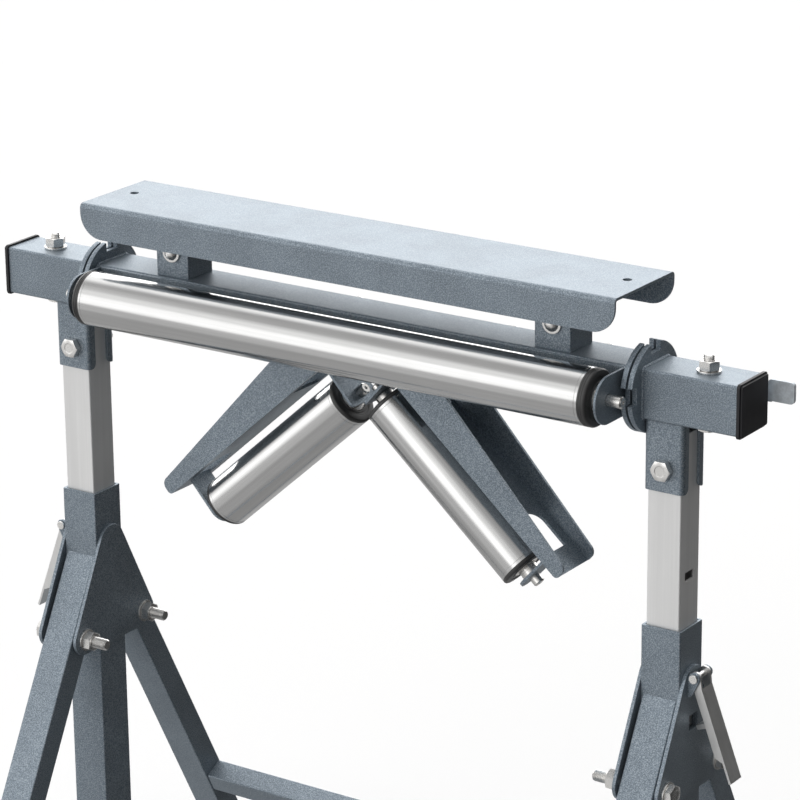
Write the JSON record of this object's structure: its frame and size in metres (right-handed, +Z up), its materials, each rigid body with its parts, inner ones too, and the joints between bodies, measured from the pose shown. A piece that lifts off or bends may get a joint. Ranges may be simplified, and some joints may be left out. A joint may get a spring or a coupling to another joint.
{
  "type": "roller stand",
  "caption": "Folding work support with a turning head: flat plate, long roller, two rollers in a V and ball transfers on a beam between two height-adjustable posts.",
  "frame": {"origin": "on the floor, midway between the two posts across their common centre plane", "axes": "+X along the head, to the right as seen from the long roller's side, +Y away from the long roller, +Z up"},
  "size_m": [0.932, 0.5234, 0.856],
  "materials": {
    "paint": "hammertone powder coat",
    "zinc_plate": "bright zinc plating",
    "galvanised": "galvanised tube",
    "roller_steel": "ground bright steel",
    "bright_steel": "drawn bright steel",
    "black_plastic": "moulded",
    "foot_rubber": "moulded"
  },
  "bodies": {
    "base": {"outer_post_left": "paint", "outer_post_right": "paint", "gussets_inner": "paint", "gussets_outer": "paint", "gusset_plugs": "paint", "leg_bolts": "zinc_plate", "leg_washers": "zinc_plate", "leg_nuts": "zinc_plate", "latch_ears": "paint", "latch_pins": "zinc_plate"},
    "front_leg_frame": {"front_legs": "paint", "front_cross_tube": "paint", "front_feet": "foot_rubber"},
    "rear_leg_frame": {"rear_legs": "paint", "rear_cross_tube": "paint", "rear_feet": "foot_rubber"},
    "left_latch": {"latch_left": "zinc_plate"},
    "right_latch": {"latch_right": "zinc_plate"},
    "carrier": {"inner_post_left": "galvanised", "inner_post_right": "galvanised", "stub_left": "paint", "stub_right": "paint", "stub_caps": "black_plastic", "fixed_discs": "paint", "pivot_bars": "bright_steel", "clips_front": "paint", "clips_rear": "paint", "carrier_bolts": "zinc_plate", "carrier_washers": "zinc_plate", "carrier_nuts": "zinc_plate", "lock_guides": "paint"},
    "left_head_lock": {"lock_bar_left": "galvanised", "lock_pin_left": "zinc_plate"},
    "right_head_lock": {"lock_bar_right": "galvanised", "lock_pin_right": "zinc_plate"},
    "head": {"beam": "paint", "turning_discs": "paint", "turning_bushes": "bright_steel", "plate": "paint", "plate_blocks": "paint", "block_bolts": "zinc_plate", "block_washers": "zinc_plate", "block_nuts": "zinc_plate", "roller_bracket": "paint", "long_axle": "bright_steel", "arm_left": "paint", "arm_right": "paint", "short_axles": "bright_steel", "ball_cups": "zinc_plate", "balls": "bright_steel"},
    "long_roller": {"long_roller_tube": "roller_steel", "long_roller_caps": "black_plastic", "long_roller_bearings": "bright_steel"},
    "left_roller": {"left_roller_tube": "roller_steel", "left_roller_caps": "black_plastic", "left_roller_bearings": "bright_steel"},
    "right_roller": {"right_roller_tube": "roller_steel", "right_roller_caps": "black_plastic", "right_roller_bearings": "bright_steel"}
  },
  "joints": [
    {"name": "front_leg_fold", "type": "hinge", "parent": "base", "child": "front_leg_frame", "pos_m": [0, -0.0504, 0.369], "axis": [1, 0, 0], "range_deg": [0, 26]},
    {"name": "rear_leg_fold", "type": "hinge", "parent": "base", "child": "rear_leg_frame", "pos_m": [0, 0.0504, 0.369], "axis": [-1, 0, 0], "range_deg": [0, 26]},
    {"name": "left_latch_swing", "type": "hinge", "parent": "base", "child": "left_latch", "pos_m": [-0.392, 0, 0.477], "axis": [0, -1, 0], "range_deg": [0, 20.5]},
    {"name": "right_latch_swing", "type": "hinge", "parent": "base", "child": "right_latch", "pos_m": [0.392, 0, 0.477], "axis": [0, 1, 0], "range_deg": [0, 20.5]},
    {"name": "height_slide", "type": "slide", "parent": "base", "child": "carrier", "axis": [0, 0, 1], "range_m": [-0.075, 0.225]},
    {"name": "head_turn", "type": "hinge", "parent": "carrier", "child": "head", "pos_m": [0, 0, 0.76], "axis": [1, 0, 0], "continuous": true},
    {"name": "left_head_lock_slide", "type": "slide", "parent": "carrier", "child": "left_head_lock", "axis": [1, 0, 0], "range_m": [0, 0.01]},
    {"name": "right_head_lock_slide", "type": "slide", "parent": "carrier", "child": "right_head_lock", "axis": [-1, 0, 0], "range_m": [0, 0.01]},
    {"name": "long_roller_spin", "type": "hinge", "parent": "head", "child": "long_roller", "pos_m": [0, -0.0585, 0.76], "axis": [1, 0, 0], "continuous": true},
    {"name": "left_roller_spin", "type": "hinge", "parent": "head", "child": "left_roller", "pos_m": [-0.09465, 0, 0.61384], "axis": [-0.749, 0, -0.6626], "continuous": true},
    {"name": "right_roller_spin", "type": "hinge", "parent": "head", "child": "right_roller", "pos_m": [0.11206, 0, 0.61914], "axis": [0.749, 0, -0.6626], "continuous": true}
  ]
}
